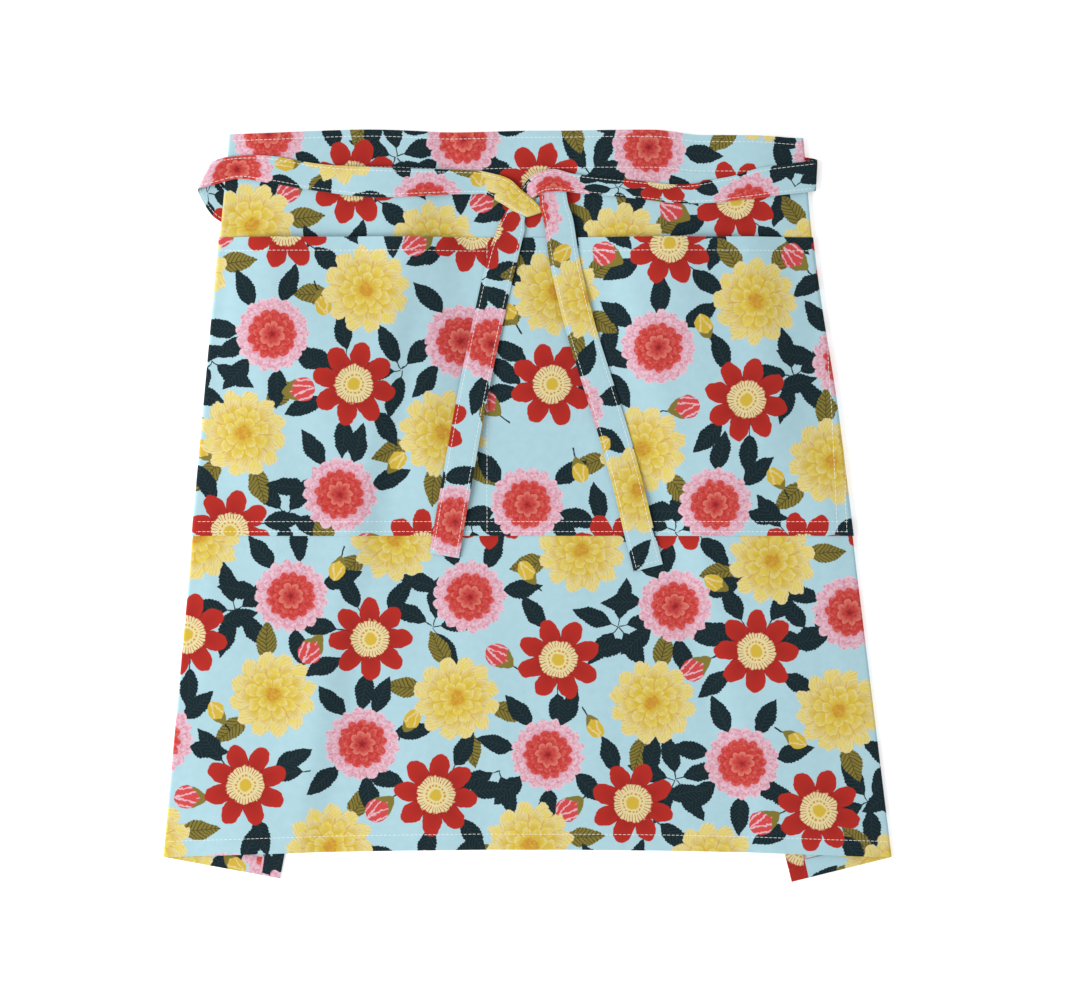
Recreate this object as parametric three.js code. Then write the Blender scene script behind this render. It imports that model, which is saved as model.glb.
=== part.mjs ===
// A half apron laid flat, front up, with both sides folded behind it and its ties knotted in front.
// Millimetres, +X across the apron, +Y from the hem to the waist, +Z up from the surface it lies on.
import * as THREE from 'three';

// The cloth, as cut
const clothWidth = 668;
const clothLength = 507;
const clothThickness = 1.0;
const clothGap = 0.4;
const hemHeight = 12.6;
const hemLayer = 1.0;

// The front between the two side folds
const frontWidthAtHem = 507;
const frontWidthAtWaist = 398.5;
const waistShift = -7.8;
const leftShareOfFlaps = 0.534;
const foldRadius = 2.0;
const hemBow = 5;
const pinchDepth = 3.5;
const pinchHeight = 110;
const pinchDrop = 91;
const pinchReach = 63;

// The waistband and the pocket band
const waistbandHeight = 26.6;
const waistbandThickness = 2.2;
const pocketDrop = 72.8;
const pocketHeight = 209;
const pocketGape = 5.5;
const gapeStart = 0.05;
const gapeRise = 0.4;

// The ties
const tieWidth = 21;
const tieThickness = 1.0;
const tieDrop = 34.6;
const leftTailDrop = 229;
const rightTailDrop = 243;
const stationPitch = 13;
const fewestStations = 2;

// Lengths over which one level of the cloth eases into the next
const easeOverFlap = 26;
const easeOverPocket = 22;
const flapMargin = 3;

// Worked out from the sizes above
const halfCloth = clothThickness / 2;
const halfTie = tieThickness / 2;
const layerPitch = tieThickness + clothGap;
const pocketOffset = clothThickness + clothGap;
const pocketTop = clothLength - pocketDrop;
const pocketBottom = pocketTop - pocketHeight;
const gapeTop = pocketBottom + pocketHeight * gapeRise;
const bandBottom = clothLength - waistbandHeight;
const tieLine = clothLength - tieDrop;
const halfWaist = frontWidthAtWaist / 2;
const halfHem = frontWidthAtHem / 2;
const flapsAtHem = clothWidth - frontWidthAtHem;
const arcLength = Math.PI * foldRadius;
const edgeX = {
  left: -halfHem - flapsAtHem * leftShareOfFlaps,
  right: halfHem + flapsAtHem * (1 - leftShareOfFlaps),
};

// The waist edge waves a little: across from fold to fold (-1 to 1), rise in waistband heights
const waistWave = [
  { across: -1.0, rise: -0.02 },
  { across: -0.5, rise: 0.1 },
  { across: -0.2, rise: 0.03 },
  { across: 0.05, rise: 0.08 },
  { across: 0.48, rise: 0.09 },
  { across: 0.66, rise: -0.05 },
  { across: 0.82, rise: -0.06 },
  { across: 1.0, rise: -0.12 },
];

// Where the two pockets gape, in shares of the width from the left fold to the right one
const pocketGapes = [
  { start: 0.0, full: 0.1, fading: 0.34, end: 0.43 },
  { start: 0.58, full: 0.7, fading: 0.88, end: 0.97 },
];

// A fold line runs from the hem to the waist, and its outward direction points away from the front
function foldLine(side) {
  const sign = side === 'left' ? -1 : 1;
  const hem = new THREE.Vector2(sign * halfHem, 0);
  const waist = new THREE.Vector2(waistShift + sign * halfWaist, clothLength);
  const along = waist.clone().sub(hem).normalize();
  const outward = new THREE.Vector2(along.y, -along.x).multiplyScalar(sign);
  return { side, sign, hem, along, outward };
}

const folds = { left: foldLine('left'), right: foldLine('right') };

function smooth(from, to, value) {
  return THREE.MathUtils.smoothstep(value, from, to);
}

function mix(from, to, share) {
  return THREE.MathUtils.lerp(from, to, share);
}

// How far a point of the flat cloth lies past a fold line, and its foot on that line
function pastFold(fold, x, y) {
  const offset = new THREE.Vector2(x, y).sub(fold.hem);
  const distance = offset.dot(fold.outward);
  const foot = new THREE.Vector2(x, y).addScaledVector(fold.outward, -distance);
  return { distance, foot };
}

function foldX(side, y) {
  const fold = folds[side];
  return fold.hem.x + (fold.along.x / fold.along.y) * y;
}

// The flap under a point of the front: how far inside the cloth's edge it still is there (less than
// nothing where there is no flap), and which height of the cloth lies there
function flapBeneath(fold, x, y) {
  const { distance, foot } = pastFold(fold, x, y);
  const beyond = foot.x + fold.outward.x * (arcLength - distance);
  return {
    inside: fold.sign * (edgeX[fold.side] - beyond),
    height: y - 2 * distance * fold.outward.y,
  };
}

// The flap lies on the floor, or on its pocket band, or on the tie that passes beneath it
function flapLevel(y) {
  const lifted = smooth(pocketBottom - easeOverPocket, pocketBottom - flapMargin, y);
  return halfCloth + pocketOffset * lifted;
}

// Between the flaps the front lies on its own hem, on the floor, or on the ties at the waist
function middleLevel(y) {
  const onHem = hemLayer * (1 - smooth(hemHeight, hemHeight + easeOverFlap, y));
  const bandDepth = waistbandThickness - halfCloth;
  const onTies = tieThickness + clothGap + bandDepth - halfCloth;
  const atTies = smooth(pocketTop - 2 * easeOverFlap, pocketTop - easeOverFlap / 2, y);
  return halfCloth + onHem + onTies * atTies;
}

// The height of the middle of the front cloth
function frontLevel(x, y) {
  const left = flapBeneath(folds.left, x, y);
  const right = flapBeneath(folds.right, x, y);
  const beneath = left.inside > right.inside ? left : right;
  const carried = smooth(-flapMargin - easeOverFlap, -flapMargin, beneath.inside);
  return mix(middleLevel(y), flapLevel(beneath.height) + 2 * foldRadius, carried);
}

// The right fold is pinched in a little below the waist
function pinch(x, y) {
  const centre = clothLength - pinchDrop;
  const along = Math.max(0, 1 - ((y - centre) / pinchHeight) ** 2);
  const across = smooth(foldX('right', y) - pinchReach, foldX('right', y), x);
  return pinchDepth * along * along * across;
}

// Lays a point of the flat cloth down, at a height above the cloth's middle on its right side
function lay(x, y, height) {
  for (const fold of [folds.left, folds.right]) {
    const { distance, foot } = pastFold(fold, x, y);
    if (distance <= 0) {
      continue;
    }
    const turned = Math.min(distance / foldRadius, Math.PI);
    const rest = Math.max(0, distance - arcLength);
    const reach = (foldRadius + height) * Math.sin(turned) - rest;
    const level = flapLevel(y) + foldRadius + (foldRadius + height) * Math.cos(turned);
    const place = foot.addScaledVector(fold.outward, reach);
    return new THREE.Vector3(place.x - pinch(place.x, place.y), place.y, level);
  }
  return new THREE.Vector3(x - pinch(x, y), y, frontLevel(x, y) + height);
}

// Shares from one end of a stretch to the other, both included
function evenly(count) {
  return Array.from({ length: count + 1 }, (_, step) => step / count);
}

// The columns of the cloth grid: flap, fold arc, front, fold arc, flap
const flapColumns = 5;
const flapBunching = 0.8;
const arcColumns = 6;
const frontShares = [
  0.035, 0.065, 0.1, 0.16, 0.22, 0.28, 0.34, 0.37, 0.4, 0.43, 0.48, 0.53,
  0.58, 0.61, 0.64, 0.67, 0.7, 0.76, 0.82, 0.88, 0.91, 0.94, 0.97,
];
const columns = [
  ...evenly(flapColumns).map((share) => ({ part: 'left', share: share ** flapBunching })),
  ...evenly(arcColumns).slice(1).map((share) => ({ part: 'leftArc', share })),
  ...frontShares.map((share) => ({ part: 'front', share })),
  ...evenly(arcColumns).slice(0, -1).map((share) => ({ part: 'rightArc', share })),
  ...evenly(flapColumns).map((share) => ({ part: 'right', share: 1 - (1 - share) ** flapBunching })),
];

// Where a column crosses the flat cloth at one height
function columnX(column, y) {
  const left = foldX('left', y);
  const right = foldX('right', y);
  const leftArc = arcLength / folds.left.outward.x;
  const rightArc = arcLength / folds.right.outward.x;
  if (column.part === 'left') {
    return mix(edgeX.left, left + leftArc, column.share);
  }
  if (column.part === 'leftArc') {
    return left + leftArc * (1 - column.share);
  }
  if (column.part === 'front') {
    return mix(left, right, column.share);
  }
  if (column.part === 'rightArc') {
    return right + rightArc * column.share;
  }
  return mix(right + rightArc, edgeX.right, column.share);
}

// Where a point stands between the folds: -1 at the left one, 1 at the right one
function between(x, y) {
  const left = foldX('left', y);
  const right = foldX('right', y);
  return THREE.MathUtils.clamp((2 * x - left - right) / (right - left), -1, 1);
}

function waistRise(x) {
  const across = between(x, clothLength);
  const next = Math.max(1, waistWave.findIndex((row) => row.across >= across));
  const before = waistWave[next - 1];
  const after = waistWave[next];
  const share = smooth(before.across, after.across, across);
  return waistbandHeight * mix(before.rise, after.rise, share);
}

// The hem bows up in the middle, and the waist edge waves; both fade out towards the pocket
function settledY(x, y) {
  const across = between(x, y);
  const bow = hemBow * (1 - across * across) * (1 - smooth(0, pocketBottom, y));
  const wave = waistRise(x) * smooth(pocketTop, clothLength, y);
  return y + bow + wave;
}

// A closed solid from a grid: an outer and an inner face, joined by a wall round the border
function gridSolid(rowCount, columnCount, pointAt) {
  const positions = [];
  for (const face of ['outer', 'inner']) {
    for (let row = 0; row < rowCount; row += 1) {
      for (let column = 0; column < columnCount; column += 1) {
        positions.push(...pointAt(row, column, face).toArray());
      }
    }
  }
  const outer = (row, column) => row * columnCount + column;
  const inner = (row, column) => rowCount * columnCount + outer(row, column);
  const index = [];
  const quad = (a, b, c, d) => index.push(a, b, c, a, c, d);
  const lastRow = rowCount - 1;
  const lastColumn = columnCount - 1;
  for (let row = 0; row < lastRow; row += 1) {
    for (let column = 0; column < lastColumn; column += 1) {
      const above = row + 1;
      const beside = column + 1;
      quad(outer(row, column), outer(row, beside), outer(above, beside), outer(above, column));
      quad(inner(row, column), inner(above, column), inner(above, beside), inner(row, beside));
    }
  }
  const border = [
    ...evenly(lastColumn).map((_, column) => [0, column]),
    ...evenly(lastRow).slice(1).map((_, row) => [row + 1, lastColumn]),
    ...evenly(lastColumn).slice(1).map((_, column) => [lastRow, lastColumn - 1 - column]),
    ...evenly(lastRow).slice(1).map((_, row) => [lastRow - 1 - row, 0]),
  ];
  for (let step = 0; step < border.length - 1; step += 1) {
    const here = border[step];
    const next = border[step + 1];
    quad(outer(...here), inner(...here), inner(...next), outer(...next));
  }
  const geometry = new THREE.BufferGeometry();
  geometry.setAttribute('position', new THREE.Float32BufferAttribute(positions, 3));
  geometry.setIndex(index);
  geometry.computeVertexNormals();
  return geometry;
}

// A stretch of the cloth between two heights, with offsets from its middle for its two faces
function clothGeometry(rows, offsets) {
  return gridSolid(rows.length, columns.length, (row, column, face) => {
    const y = rows[row];
    const x = columnX(columns[column], y);
    return lay(x, settledY(x, y), offsets(x, y)[face]);
  });
}

function stretch(from, to, count) {
  return evenly(count).map((share) => mix(from, to, share));
}

// The hems are turned inwards, so they thicken the inner face only
function skirtOffsets(x, y) {
  const sideHem = Math.min(x - edgeX.left, edgeX.right - x) < hemHeight + clothGap;
  const bottomHem = y < hemHeight + clothGap;
  return { outer: halfCloth, inner: -halfCloth - (sideHem || bottomHem ? hemLayer : 0) };
}

// How far the pocket band stands off the skirt. It is flat at the folds, at the divider stitches and
// under the tails, and it gapes between them
function gape(x, y) {
  const share = (x - foldX('left', y)) / (foldX('right', y) - foldX('left', y));
  const across = pocketGapes.map((row) => (
    smooth(row.start, row.full, share) * (1 - smooth(row.fading, row.end, share))
  ));
  const upward = smooth(pocketBottom + pocketHeight * gapeStart, gapeTop, y);
  return pocketGape * Math.max(...across) * upward;
}

function pocketOffsets(x, y) {
  const middle = pocketOffset + gape(x, y);
  return { outer: middle + halfCloth, inner: middle - halfCloth };
}

function waistbandOffsets() {
  return { outer: halfCloth, inner: halfCloth - waistbandThickness };
}

// The top of whatever lies on the front at one place
function carrierTop(x, y) {
  if (x < foldX('left', y) || x > foldX('right', y)) {
    return 0;
  }
  const onPocket = y > pocketBottom - flapMargin && y < pocketTop + flapMargin;
  const band = onPocket ? pocketOffset + gape(x, Math.min(y, pocketTop)) : 0;
  return frontLevel(x, y) + halfCloth + band;
}

// The end of the waistband on a folded flap, where the tie is sewn on
function bandEnd(side) {
  const fold = folds[side];
  const middle = clothLength - waistbandHeight / 2;
  const end = lay(edgeX[side], middle, 0);
  const inside = lay(edgeX[side] - fold.sign * tieWidth, middle, 0);
  const direction = end.clone().sub(inside).setZ(0).normalize();
  return { end, direction };
}

// The ties' rows: across in half waists (the folds are at -1 and 1), rise in tie widths above the
// tie line, layer in tie layers above what carries the tie, span in tie widths. A row with a crease
// is a fold: the tie comes in at its heading, and turns over a line at the crease angle, in degrees
const leftTieBehind = [
  { across: -0.15, rise: -1.34, layer: 0, span: 1 },
  { across: -0.4, rise: -1.4, layer: 0, span: 1 },
  { across: -0.72, rise: -1.34, layer: 0, span: 1 },
  { across: -0.93, rise: -1.12, layer: 0, span: 1 },
  { across: -1.03, rise: -0.75, layer: 0, span: 1 },
];
const leftTieSide = { across: -1.097, rise: 0.22, span: 0.8, heading: 118, crease: 64 };
const leftTieFront = [
  { across: -0.983, rise: 0.5, layer: 0, span: 0.76 },
  { across: -0.862, rise: 0.42, layer: 0, span: 0.9 },
  { across: -0.71, rise: 0.18, layer: 0, span: 0.9 },
  { across: -0.507, rise: 0.0, layer: 0, span: 1 },
  { across: -0.16, rise: 0.02, layer: 0, span: 0.8 },
];
const leftTieKnot = [
  { across: -0.1, rise: -0.02, layer: 0.5, span: 0.72 },
  { across: -0.047, rise: -0.24, layer: 1.8, span: 0.84 },
  { across: -0.002, rise: -0.56, layer: 2.15, span: 0.74 },
  { across: 0.068, rise: -1.04, layer: 2.2, toLayer: 0, span: 0.52, heading: -38, crease: 18 },
  { across: 0.096, rise: -0.7, layer: 0, span: 0.6 },
  { across: 0.11, rise: -0.3, layer: 0, span: 0.7 },
  { across: 0.118, rise: 0.12, layer: 0, toLayer: 1.25, span: 0.97, heading: 92, crease: 3 },
  { across: 0.127, rise: -0.3, layer: 1.3, span: 0.9 },
  { across: 0.132, rise: -0.75, layer: 2.9, span: 0.94 },
  { across: 0.148, rise: -1.27, layer: 1.0, span: 0.97 },
];
const rightTieBehind = [
  { across: -0.16, rise: -0.12, layer: 0, span: 1 },
  { across: 0.14, rise: 0.3, layer: 0, span: 1 },
  { across: 0.42, rise: 0.66, layer: 0, span: 1 },
  { across: 0.75, rise: 0.6, layer: 0, span: 1 },
];
const rightTieSide = { across: 1.055, rise: 0.26, span: 1, heading: -18, crease: 87 };
const rightTieFront = [
  { across: 0.88, rise: 0.02, layer: 0, span: 1 },
  { across: 0.74, rise: -0.23, layer: 0, span: 0.8 },
  { across: 0.58, rise: -0.38, layer: 0, span: 0.62 },
  { across: 0.43, rise: -0.24, layer: 0, span: 0.6 },
  { across: 0.3, rise: -0.12, layer: 0.6, span: 0.6 },
];
const rightTieKnot = [
  { across: 0.2, rise: -0.02, layer: 2.4, span: 0.62 },
  { across: 0.128, rise: 0.08, layer: 3.0, span: 0.74 },
  { across: 0.074, rise: -0.06, layer: 3.2, span: 0.66 },
  { across: 0.036, rise: -0.36, layer: 1.1, span: 0.5 },
  { across: 0.01, rise: -0.72, layer: 0.5, span: 0.54 },
  { across: -0.006, rise: -1.12, layer: 0.1, span: 0.7 },
  { across: -0.018, rise: -1.53, layer: 0.05, span: 0.9 },
];

// The tails: drop and drift in shares of the tail's own drop, drift to the right
const leftTail = [
  { drop: 0.095, drift: -0.028 },
  { drop: 0.278, drift: -0.07 },
  { drop: 0.544, drift: -0.125 },
  { drop: 0.734, drift: -0.159 },
  { drop: 0.893, drift: -0.187 },
  { drop: 1.0, drift: -0.205 },
];
const rightTail = [
  { drop: 0.112, drift: 0.017 },
  { drop: 0.306, drift: 0.063 },
  { drop: 0.493, drift: 0.121 },
  { drop: 0.605, drift: 0.156 },
  { drop: 0.758, drift: 0.199 },
  { drop: 0.89, drift: 0.231 },
  { drop: 1.0, drift: 0.259 },
];

function waistPlace(row) {
  return new THREE.Vector2(waistShift + row.across * halfWaist, tieLine + row.rise * tieWidth);
}

// The height of the middle of a tie that lies on the floor, or on the front
function tieHeight(place, layer, inFront) {
  if (!inFront) {
    return halfTie + layer * layerPitch;
  }
  const x = THREE.MathUtils.clamp(place.x, foldX('left', place.y), foldX('right', place.y));
  return carrierTop(x, place.y) + clothGap + halfTie + layer * layerPitch;
}

// A flat row becomes one guide point of the tie
function flatGuide(row, inFront) {
  const place = row.place ?? waistPlace(row);
  const height = row.height ?? tieHeight(place, row.layer, inFront);
  const point = new THREE.Vector3(place.x, place.y, height);
  return { point, span: row.span, inFront, width: null };
}

// A fold becomes the guide points of a half turn round a level rod that lies along the crease
function foldGuides(row, from, to, hand, inFront) {
  const heading = THREE.MathUtils.degToRad(row.heading);
  const crease = THREE.MathUtils.degToRad(row.crease);
  const rod = new THREE.Vector3(Math.cos(crease), Math.sin(crease), 0);
  const coming = new THREE.Vector3(Math.cos(heading), Math.sin(heading), 0);
  const alongRod = coming.dot(rod);
  const outward = coming.clone().addScaledVector(rod, -alongRod).normalize();
  const acrossRod = coming.dot(outward);
  const radius = (to - from) / 2;
  const apex = waistPlace(row);
  const length = (Math.PI * Math.abs(radius)) / acrossRod;
  const sense = Math.sign(coming.x * rod.y - coming.y * rod.x);
  const width = rod.clone().multiplyScalar(hand * sense);
  return [0, 0.25, 0.5, 0.75, 1].map((share) => {
    const turned = Math.PI * share;
    const point = new THREE.Vector3(apex.x, apex.y, (from + to) / 2);
    point.addScaledVector(rod, length * alongRod * (share - 0.5));
    point.addScaledVector(outward, Math.abs(radius) * (Math.sin(turned) - 1));
    point.z -= radius * Math.cos(turned);
    return { point, span: row.span / acrossRod, inFront, width };
  });
}

function tailRows(rows, knotEnd, drop) {
  const start = waistPlace(knotEnd);
  return rows.map((row) => ({
    layer: 0,
    span: 1,
    place: new THREE.Vector2(start.x + row.drift * drop, start.y - row.drop * drop),
  }));
}

// How far out from the waistband, in tie widths, a sewn tie has come down to the floor
const sewnDescent = [
  { reach: 0, fallen: 0 },
  { reach: 0.48, fallen: 0.35 },
  { reach: 1.38, fallen: 1 },
];

// The first rows of a tie: it leaves the end of the waistband and comes down to the floor
function sewnRows(side) {
  const { end, direction } = bandEnd(side);
  return sewnDescent.map(({ reach, fallen }) => {
    const place = end.clone().addScaledVector(direction, clothGap + reach * tieWidth);
    return { place, height: mix(end.z, halfTie, fallen), span: 1 };
  });
}

// The guide points of a whole tie: behind, round the side, along the front, the knot and the tail
function tieGuides(behind, side, front) {
  let hand = -1;
  const guides = behind.map((row) => flatGuide(row, false));
  const sidePlace = waistPlace(side);
  const top = tieHeight(sidePlace, 0, true);
  guides.push(...foldGuides(side, halfTie, top, hand, true));
  hand = -hand;
  for (const row of front) {
    if (row.crease === undefined) {
      guides.push(flatGuide(row, true));
      continue;
    }
    const place = waistPlace(row);
    const from = tieHeight(place, row.layer, true);
    const to = tieHeight(place, row.toLayer, true);
    guides.push(...foldGuides(row, from, to, hand, true));
    hand = -hand;
  }
  return guides;
}

// Across a fold the width follows the crease. A flat guide's is square to the way the tie runs
function squareWidths(guides, curve) {
  let last = null;
  return guides.map((guide, index) => {
    if (guide.width) {
      last = guide.width;
      return guide.width;
    }
    const tangent = curve.getTangent(index / (guides.length - 1));
    const width = new THREE.Vector3(tangent.y, -tangent.x, 0).normalize();
    if (last && last.dot(width) < 0) {
      width.negate();
    }
    last = width;
    return width;
  });
}

// Stations down the middle of a tie, each with its place, width direction, face direction and span
function tieStations(guides) {
  const curve = new THREE.CatmullRomCurve3(guides.map((guide) => guide.point), false, 'centripetal');
  const widths = squareWidths(guides, curve);
  const shares = [];
  for (let step = 0; step < guides.length - 1; step += 1) {
    const reach = guides[step].point.distanceTo(guides[step + 1].point);
    const folding = guides[step].width && guides[step + 1].width;
    const count = folding ? fewestStations : Math.max(fewestStations, Math.ceil(reach / stationPitch));
    shares.push(...evenly(count).slice(0, -1).map((share) => ({ step, share })));
  }
  shares.push({ step: guides.length - 2, share: 1 });
  return shares.map(({ step, share }) => {
    const at = (step + share) / (guides.length - 1);
    const tangent = curve.getTangent(at);
    const width = widths[step].clone().lerp(widths[step + 1], share).normalize();
    const place = curve.getPoint(at);
    place.z = Math.max(place.z, halfTie);
    const spans = [guides[step].span, guides[step + 1].span];
    return {
      place,
      width,
      tangent,
      normal: new THREE.Vector3().crossVectors(width, tangent).normalize(),
      half: (tieWidth / 2) * mix(spans[0], spans[1], smooth(0, 1, share)),
      inFront: guides[step].inFront && !guides[step].width,
    };
  });
}

// Raises the stations in front that would cut into what carries them, and eases the rise
function seatStations(stations) {
  const deficits = stations.map((station) => {
    if (!station.inFront) {
      return 0;
    }
    const needed = [-1, -0.5, 0, 0.5, 1].flatMap((share) => [-0.5, 0, 0.5].map((ahead) => {
      const point = station.place.clone().addScaledVector(station.width, share * station.half);
      point.addScaledVector(station.tangent, ahead * stationPitch);
      return carrierTop(point.x, point.y) + clothGap + halfTie - station.place.z;
    }));
    return Math.max(0, ...needed);
  });
  const around = (list, index, reach) => list.slice(Math.max(0, index - reach), index + reach + 1);
  const widest = deficits.map((_, index) => Math.max(...around(deficits, index, 2)));
  return stations.map((station, index) => {
    const near = around(widest, index, 1);
    const lift = near.reduce((sum, value) => sum + value, 0) / near.length;
    const place = station.place.clone().setZ(station.place.z + lift);
    return { ...station, place };
  });
}

function tieGeometry(guides) {
  const stations = seatStations(tieStations(guides));
  const across = [-1, 0, 1];
  return gridSolid(stations.length, across.length, (row, column, face) => {
    const station = stations[row];
    const side = face === 'outer' ? halfTie : -halfTie;
    return station.place.clone()
      .addScaledVector(station.width, across[column] * station.half)
      .addScaledVector(station.normal, side);
  });
}

function cloth(name, geometry) {
  const material = new THREE.MeshStandardMaterial({ color: 0xbdd8da, roughness: 0.9, metalness: 0 });
  const mesh = new THREE.Mesh(geometry, material);
  mesh.name = name;
  return mesh;
}

// The rows of the pocket band, which the skirt shares beneath it
const pocketRows = [
  ...stretch(pocketBottom, gapeTop, 4),
  ...stretch(gapeTop, pocketTop, 4).slice(1),
];

// The skirt: hem rows, the plain lower part, the part under the pocket and the plain strip above
function skirt() {
  const rows = [
    ...stretch(0, hemHeight, 1),
    ...stretch(hemHeight + 2 * clothGap, pocketBottom - easeOverPocket, 4),
    ...stretch(pocketBottom - easeOverPocket, pocketBottom, 3).slice(1, -1),
    ...pocketRows,
    ...stretch(pocketTop, bandBottom - clothGap, 2).slice(1),
  ];
  return cloth('skirt', clothGeometry(rows, skirtOffsets));
}

// The waistband: a casing of doubled cloth, its outer face flush with the skirt's
function waistband() {
  const rows = stretch(bandBottom, clothLength, 2);
  return cloth('waistband', clothGeometry(rows, waistbandOffsets));
}

// The pocket band: one cloth over the full width, sewn down at its foot and at the dividers
function pocketPanel() {
  return cloth('pocket_panel', clothGeometry(pocketRows, pocketOffsets));
}

// The left tie is sewn to the right flap, comes round the left fold and ends in the right tail
function leftTie() {
  const tail = tailRows(rightTail, leftTieKnot[leftTieKnot.length - 1], rightTailDrop);
  const behind = [...sewnRows('right'), ...leftTieBehind];
  const front = [...leftTieFront, ...leftTieKnot, ...tail];
  return cloth('left_tie', tieGeometry(tieGuides(behind, leftTieSide, front)));
}

// The right tie is sewn to the left flap, comes round the right fold and ends in the left tail
function rightTie() {
  const tail = tailRows(leftTail, rightTieKnot[rightTieKnot.length - 1], leftTailDrop);
  const behind = [...sewnRows('left'), ...rightTieBehind];
  const front = [...rightTieFront, ...rightTieKnot, ...tail];
  return cloth('right_tie', tieGeometry(tieGuides(behind, rightTieSide, front)));
}

const apron = new THREE.Group();
apron.add(skirt(), waistband(), pocketPanel(), leftTie(), rightTie());

// The origin is at the bottom of the box round the apron, in the middle of its length and width
const bounds = new THREE.Box3().setFromObject(apron, true);
const middle = bounds.getCenter(new THREE.Vector3());
apron.position.set(-middle.x, -middle.y, -bounds.min.z);

export default apron;
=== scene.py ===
# %% [markdown]
# # A half apron laid flat
# Both sides of this printed cotton apron are folded behind the front, a pocket band wraps the folds,
# and the ties cross behind, come round the folds and are knotted in front. This lesson builds the CAD
# model's pieces with a finer grid, and adds wrinkles, stitches, the print and the weave.

import math

import bpy
import numpy as np
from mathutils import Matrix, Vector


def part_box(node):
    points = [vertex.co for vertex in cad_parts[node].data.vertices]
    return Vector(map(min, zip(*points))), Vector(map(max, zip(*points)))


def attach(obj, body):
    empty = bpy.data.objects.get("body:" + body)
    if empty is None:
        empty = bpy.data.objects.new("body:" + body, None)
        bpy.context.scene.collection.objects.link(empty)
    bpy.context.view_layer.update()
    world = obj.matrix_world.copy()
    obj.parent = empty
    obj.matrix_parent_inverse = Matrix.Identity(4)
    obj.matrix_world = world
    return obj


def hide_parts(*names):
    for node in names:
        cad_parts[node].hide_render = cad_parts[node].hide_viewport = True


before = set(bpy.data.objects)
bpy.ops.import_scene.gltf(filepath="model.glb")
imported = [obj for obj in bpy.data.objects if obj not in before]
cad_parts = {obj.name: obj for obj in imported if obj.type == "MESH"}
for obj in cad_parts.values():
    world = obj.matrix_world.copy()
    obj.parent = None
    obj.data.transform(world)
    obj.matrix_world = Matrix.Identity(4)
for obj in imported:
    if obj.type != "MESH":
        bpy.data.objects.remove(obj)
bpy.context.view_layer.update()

# %% [markdown]
# ## The sizes
# The sizes are the CAD model's, in millimetres, with X across the apron and Y from the hem to the
# waist. Only the layers are thinner, since the CAD's walls are made to collide. A plain box with a
# picture on it would show no fold or hem, so each piece is a grid of the flat cloth that one function
# lays down, fold by fold.

# %% Sizes in millimetres
CLOTH_WIDTH = 668.0
CLOTH_LENGTH = 507.0
CLOTH_THICKNESS = 0.7
CLOTH_GAP = 0.2
HEM_HEIGHT = 12.6
HEM_LAYER = 0.7
FRONT_WIDTH_AT_HEM = 507.0
FRONT_WIDTH_AT_WAIST = 398.5
WAIST_SHIFT = -7.8
LEFT_SHARE_OF_FLAPS = 0.534
FOLD_RADIUS = 1.5
HEM_BOW = 5.0
PINCH_DEPTH = 3.0
PINCH_HEIGHT = 110.0
PINCH_DROP = 91.0
PINCH_REACH = 63.0
WAISTBAND_HEIGHT = 26.6
WAISTBAND_THICKNESS = 1.4
POCKET_DROP = 72.8
POCKET_HEIGHT = 209.0
POCKET_GAPE = 4.5
GAPE_START = 0.05
GAPE_RISE = 0.4
TIE_WIDTH = 21.0
TIE_THICKNESS = 0.8
TIE_DROP = 34.6
LEFT_TAIL_DROP = 229.0
RIGHT_TAIL_DROP = 243.0
STATION_PITCH = 13.0
EASE_OVER_FLAP = 26.0
EASE_OVER_POCKET = 22.0
FLAP_MARGIN = 3.0

HALF_CLOTH = CLOTH_THICKNESS / 2
HALF_TIE = TIE_THICKNESS / 2
LAYER_PITCH = TIE_THICKNESS + CLOTH_GAP
POCKET_OFFSET = CLOTH_THICKNESS + CLOTH_GAP
POCKET_TOP = CLOTH_LENGTH - POCKET_DROP
POCKET_BOTTOM = POCKET_TOP - POCKET_HEIGHT
BAND_BOTTOM = CLOTH_LENGTH - WAISTBAND_HEIGHT
TIE_LINE = CLOTH_LENGTH - TIE_DROP
HALF_WAIST = FRONT_WIDTH_AT_WAIST / 2
HALF_HEM = FRONT_WIDTH_AT_HEM / 2
FLAPS_AT_HEM = CLOTH_WIDTH - FRONT_WIDTH_AT_HEM
ARC_LENGTH = math.pi * FOLD_RADIUS

# %% [markdown]
# ## Folding the flat cloth
# Cloth hardly stretches, so a fold is a half turn round a thin cylinder, and the flap behind is the
# mirror image of the cloth past it. The front rests on whatever lies beneath it: its own hem, a flap,
# a pocket band or a tie.


# %% Folding functions
def smooth(start, end, value):
    """0 up to start, 1 from end on, and the curve 3t^2 - 2t^3 between them."""
    share = np.clip((value - start) / (end - start), 0, 1)
    return share * share * (3 - 2 * share)


def mix(low, high, share):
    """The value that lies a share of the way from low to high."""
    return low + (high - low) * share


def unit(vectors):
    """Each vector divided by its length."""
    return vectors / np.linalg.norm(vectors, axis=-1, keepdims=True)


def fold_line(sign, edge):
    """A fold from the hem to the waist. Its outward direction points away from the front."""
    hem = np.array([sign * HALF_HEM, 0.0])
    waist = np.array([WAIST_SHIFT + sign * HALF_WAIST, CLOTH_LENGTH])
    along = unit(waist - hem)
    outward = sign * np.array([along[1], -along[0]])
    return {"sign": sign, "edge": edge, "hem": hem, "along": along, "outward": outward}


LEFT = fold_line(-1, -HALF_HEM - FLAPS_AT_HEM * LEFT_SHARE_OF_FLAPS)
RIGHT = fold_line(1, HALF_HEM + FLAPS_AT_HEM * (1 - LEFT_SHARE_OF_FLAPS))


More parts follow.
